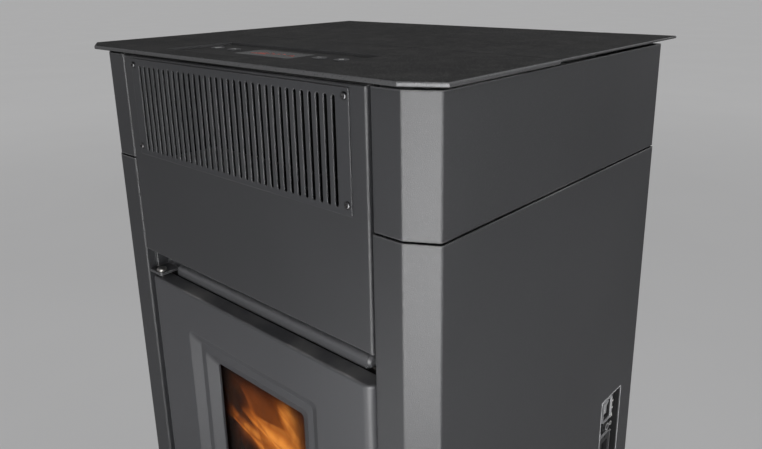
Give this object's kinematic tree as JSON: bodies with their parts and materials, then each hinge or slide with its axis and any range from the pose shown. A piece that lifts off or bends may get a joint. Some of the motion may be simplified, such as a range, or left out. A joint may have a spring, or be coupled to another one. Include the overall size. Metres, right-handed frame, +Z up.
{
  "type": "pellet stove",
  "caption": "Free-standing pellet stove: folded steel casing with bevelled corners, slotted grille, cast door with window, ash drawer, hopper lid, auger, burn pot and fans.",
  "frame": {"origin": "on the floor, under the middle of the bounding box", "axes": "+Z up, -Y out of the door, +X to the viewer's right when facing the door"},
  "size_m": [0.567, 0.535, 1.01],
  "materials": {
    "casing_coat": "anthracite fine-textured powder coat",
    "plate_coat": "near-black sand-textured powder coat",
    "door_coat": "satin heat-proof paint on cast iron",
    "grille_coat": "anthracite fine-textured powder coat",
    "bare_steel": "zinc-plated steel",
    "galvanised": "galvanised sheet",
    "hot_steel": "matt heat-proof black paint, dusted with ash",
    "lining": "vermiculite board",
    "cast_pot": "cast iron, heat-stained",
    "fire_glass": "clear ceramic glass",
    "rope": "graphite-coated glass-fibre rope",
    "rubber": "soft black rubber",
    "black_plastic": "fine-textured black plastic",
    "button_plastic": "satin grey plastic",
    "display_glass": "tinted gloss window",
    "motor_black": "black enamel",
    "cast_aluminium": "bare die casting",
    "rail_coat": "silver-grey heat-proof paint",
    "handle_metal": "satin black paint"
  },
  "bodies": {
    "casing": {"side_panel_lower_right": "casing_coat", "side_panel_lower_left": "casing_coat", "side_panel_upper_right": "casing_coat", "side_panel_upper_left": "casing_coat", "chassis_sides": "galvanised", "base_pan": "galvanised", "rear_panel": "casing_coat", "levelling_feet": "rubber", "front_panel_upper": "casing_coat", "air_grille": "grille_coat", "grille_screws": "grille_coat", "air_duct": "galvanised", "top_plate": "plate_coat", "top_frame": "hot_steel", "lid_hinge_brackets": "bare_steel", "control_panel": "black_plastic", "display_window": "display_glass", "door_hinge_brackets": "hot_steel", "latch_catch": "bare_steel", "door_rail": "rail_coat", "drawer_shelf": "galvanised", "plinth_panel": "casing_coat", "firebox": "hot_steel", "firebox_lining": "lining", "heat_exchanger_tubes": "hot_steel", "burn_pot_support": "hot_steel", "hopper": "galvanised", "hopper_grid": "bare_steel", "auger_tube": "galvanised", "auger_gearmotor": "cast_aluminium", "extractor_housing": "galvanised", "extractor_motor": "motor_black", "flue_spigot": "hot_steel", "combustion_air_pipe": "galvanised", "room_fan_housing": "galvanised", "service_pan": "black_plastic", "service_fittings": "black_plastic", "control_box_and_pressure_switch": "black_plastic"},
    "door": {"door_frame": "door_coat", "door_glass": "fire_glass", "glass_clips": "bare_steel", "door_seals": "rope", "door_hinge_pins": "bare_steel"},
    "latch": {"door_handle": "handle_metal", "latch_spindle": "bare_steel"},
    "drawer": {"ash_drawer_front": "casing_coat", "ash_drawer_tray": "galvanised", "drawer_pull": "handle_metal"},
    "lid": {"hopper_lid": "plate_coat", "lid_seal": "rubber", "lid_hinge_leaves": "bare_steel"},
    "rocker": {"rocker_switch": "black_plastic"},
    "auger": {"auger_screw": "bare_steel"},
    "smoke_fan_wheel": {"extractor_impeller": "bare_steel"},
    "room_fan_wheel": {"room_fan_impeller": "cast_aluminium"},
    "pot": {"burn_pot": "cast_pot"},
    "key_1": {"button_1": "button_plastic"},
    "key_2": {"button_2": "button_plastic"},
    "key_3": {"button_3": "button_plastic"},
    "key_4": {"button_4": "button_plastic"}
  },
  "joints": [
    {"name": "door_hinge", "type": "hinge", "parent": "casing", "child": "door", "pos_m": [-0.188, -0.2175, 0.496], "axis": [0, 0, 1], "range_deg": [-110, 0]},
    {"name": "handle_turn", "type": "hinge", "parent": "door", "child": "latch", "pos_m": [0.176, -0.2275, 0.395], "axis": [0, 1, 0], "range_deg": [0, 90]},
    {"name": "drawer_slide", "type": "slide", "parent": "casing", "child": "drawer", "axis": [0, -1, 0], "range_m": [0, 0.21]},
    {"name": "lid_hinge", "type": "hinge", "parent": "casing", "child": "lid", "pos_m": [0, 0.2405, 1.0045], "axis": [-1, 0, 0], "range_deg": [0, 75]},
    {"name": "rocker_tip", "type": "hinge", "parent": "casing", "child": "rocker", "pos_m": [0.26, 0.162, 0.514], "axis": [0, 1, 0], "range_deg": [-16, 0]},
    {"name": "auger_turn", "type": "hinge", "parent": "casing", "child": "auger", "pos_m": [0, 0.1065, 0.61], "axis": [0, 1, 0], "continuous": true},
    {"name": "smoke_fan_turn", "type": "hinge", "parent": "casing", "child": "smoke_fan_wheel", "pos_m": [-0.12, 0.1025, 0.19], "axis": [0, 1, 0], "continuous": true},
    {"name": "room_fan_turn", "type": "hinge", "parent": "casing", "child": "room_fan_wheel", "pos_m": [0.1, 0.1265, 0.124], "axis": [1, 0, 0], "continuous": true},
    {"name": "pot_lift", "type": "slide", "parent": "casing", "child": "pot", "axis": [0, 0, 1], "range_m": [0, 0.1]},
    {"name": "key_1_press", "type": "slide", "parent": "casing", "child": "key_1", "axis": [0, 0, -1], "range_m": [0, 0.0008], "stiffness_N_per_m": 400},
    {"name": "key_2_press", "type": "slide", "parent": "casing", "child": "key_2", "axis": [0, 0, -1], "range_m": [0, 0.0008], "stiffness_N_per_m": 400},
    {"name": "key_3_press", "type": "slide", "parent": "casing", "child": "key_3", "axis": [0, 0, -1], "range_m": [0, 0.0008], "stiffness_N_per_m": 400},
    {"name": "key_4_press", "type": "slide", "parent": "casing", "child": "key_4", "axis": [0, 0, -1], "range_m": [0, 0.0008], "stiffness_N_per_m": 400}
  ]
}
